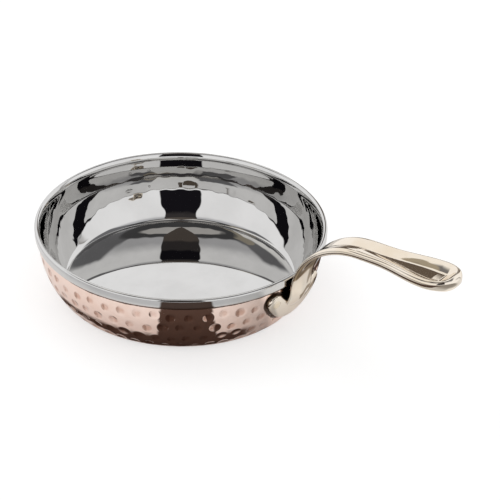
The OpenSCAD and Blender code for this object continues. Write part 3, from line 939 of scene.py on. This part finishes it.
def brass_finish(name, fresh, aged, roughness, haze_size, tinned=False):
    """Polished brass. It is filed along the handle, cast a little wavy, and has painted shade in the hollow
    under the bend. Tinned rivets are white inside the bowl."""
    made = bpy.data.materials.new(name)
    made.use_nodes = True
    g = Graph(made.node_tree)
    place = g.node("TexCoord").outputs["Object"]
    drawn = g.vector("MULTIPLY", place, ALONG_HANDLE).outputs[0]
    haze, lines = polish(g, place, drawn, haze_size, BRASS_LINE_SHARE)
    cast = g.node("TexNoise", {"Vector": place, **CAST_WAVES}).outputs["Fac"]
    tone = g.mix(haze, fresh, aged)
    seams = g.node("Attribute", attribute_name="dark_seam").outputs["Fac"]
    brass_dark_seam = g.step(g.scaled(cast, SEAM_WAVES, g.math("SUBTRACT", seams, SEAM_LEVEL)), *SEAM_EDGE)
    tone = g.mix(brass_dark_seam, tone, BRASS_DARK_SEAM)
    split = g.node("SeparateXYZ", {0: place}).outputs
    facing = g.node("SeparateXYZ", {0: g.node("NewGeometry").outputs["Normal"]}).outputs
    level = g.scaled(split[1], UNDER_SLANT, split[2])
    bend_shade = g.times(g.step(level, *UNDER_FROM), g.step(split[2], *UNDER_TO, 1.0, 0.0))
    bend_shade = g.times(bend_shade, g.step(facing[0], *UNDER_FACING))
    tone = g.mix(g.times(bend_shade, BEND_SHADE_SHARE), tone, BEND_SHADE_BRASS)
    if tinned:
        tone = g.mix(g.step(off_axis(g, split), *INSIDE_BOWL, 1.0, 0.0), tone, TIN)
    rough = g.plus(g.times(haze, BRASS_HAZE_ROUGH), g.scaled(lines, BRASS_LINE_ROUGH, roughness))
    rough = g.scaled(brass_dark_seam, SEAM_ROUGH, rough)
    relief = g.plus(g.times(cast, BRASS_WAVE), g.times(lines, BRASS_LINE))
    return finish_metal(made, g, tone, rough, relief, BRASS_RELIEF)


CAST_FRESH, CAST_AGED = (0.855, 0.78, 0.68), (0.80, 0.70, 0.57)
CAST_ROUGH, CAST_HAZE_SIZE = 0.02, 40.0
handle.data.materials.append(
    brass_finish("polished_brass_casting", CAST_FRESH, CAST_AGED, CAST_ROUGH, CAST_HAZE_SIZE))


# The rivets
# Two brass rivets go through the ears, the copper and the steel. Each has a round head on the steel inside
# the bowl; outside its end is sunk into the ear and filed flush, so only a hairline ring shows.
RIVET_D, RIVET_HEAD_D, RIVET_HEAD_H = 4.0, 9.0, 1.8
HEAD_STEPS, HEAD_TIP = 16, 0.06
HEAD_SEAT, SHANK_SHORT = 0.2, 1.4
SINK_D, HAIRLINE, HAIRLINE_W, SINK_DEPTH = 6.4, 0.012, 0.03, 0.1
SUNK_FACE_AT = (0.8, 0.5, 0.2)
OUTSIDE_EAR = 12.0
RIVET_SIDES = 72
HEAD_BALL_R = (RIVET_HEAD_D ** 2 / 4 + RIVET_HEAD_H ** 2) / (2 * RIVET_HEAD_H)
RIVET_FRESH, RIVET_AGED = (0.85, 0.76, 0.62), (0.80, 0.68, 0.50)
RIVET_ROUGH, RIVET_HAZE_SIZE = 0.04, 90.0
rivet_brass = brass_finish("rivet_brass_turned", RIVET_FRESH, RIVET_AGED, RIVET_ROUGH, RIVET_HAZE_SIZE,
                           tinned=True)
around = np.arange(RIVET_SIDES) * 2 * pi / RIVET_SIDES
ear_dip = asin((WALL_TOP - EAR_Z) / SIDE_R)
sunk_rings = [(SINK_D / 2 - HAIRLINE_W, -SINK_DEPTH), (SINK_D / 2 - 2 * HAIRLINE_W, HAIRLINE)]
sunk_rings += [(SINK_D / 2 * share, HAIRLINE) for share in SUNK_FACE_AT]
for side, name in ((-1, "rivet_left"), (1, "rivet_right")):
    ear_r = wall_x(EAR_Z)
    turn = side * asin(EAR_Y / ear_r)
    out = Vector((cos(turn) * cos(ear_dip), sin(turn) * cos(ear_dip), -sin(ear_dip)))
    centre = Vector((ear_r * cos(turn), ear_r * sin(turn), EAR_Z))
    u = out.orthogonal().normalized()
    v = out.cross(u)
    spokes = [u * cos(a) + v * sin(a) for a in around]
    loops = []
    # The round head follows the bowl's wall where it would run into it.
    for r in RIVET_HEAD_D / 2 * np.sin(np.linspace(HEAD_TIP, pi / 2, HEAD_STEPS)):
        above_steel = sqrt(HEAD_BALL_R ** 2 - r ** 2) - (HEAD_BALL_R - RIVET_HEAD_H)
        for spoke in spokes:
            p = centre + spoke * r - out * (STEEL_IN + above_steel)
            fit = min(1.0, (wall_x(p.z) - STEEL_IN - SEAT_GAP) / hypot(p.x, p.y))
            loops.append((p.x * fit, p.y * fit, p.z))
    for along in (-STEEL_IN + HEAD_SEAT, 0.0, FOOT_T - SHANK_SHORT):
        loops += [tuple(centre + spoke * RIVET_D / 2 + out * along) for spoke in spokes]
    # The sunk end takes the shape of the ear's face, a hairline proud of it.
    for r, proud in sunk_rings:
        for spoke in spokes:
            struck = foot_surface.ray_cast(centre + spoke * r + out * OUTSIDE_EAR, -out)[0]
            loops.append(tuple(struck + out * proud))
    ring_count = len(loops) // RIVET_SIDES
    rivet_faces = [tuple(reversed(range(RIVET_SIDES)))]
    for i in range(ring_count - 1):
        low, high = i * RIVET_SIDES, (i + 1) * RIVET_SIDES
        for k in range(RIVET_SIDES):
            n = (k + 1) % RIVET_SIDES
            rivet_faces.append((low + k, low + n, high + n, high + k))
    rivet_faces.append(tuple((ring_count - 1) * RIVET_SIDES + k for k in range(RIVET_SIDES)))
    rivet = add_piece(name + "_turned", np.array(loops), rivet_faces)
    rivet.data.materials.append(rivet_brass)
    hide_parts(name)
    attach(rivet, "root")
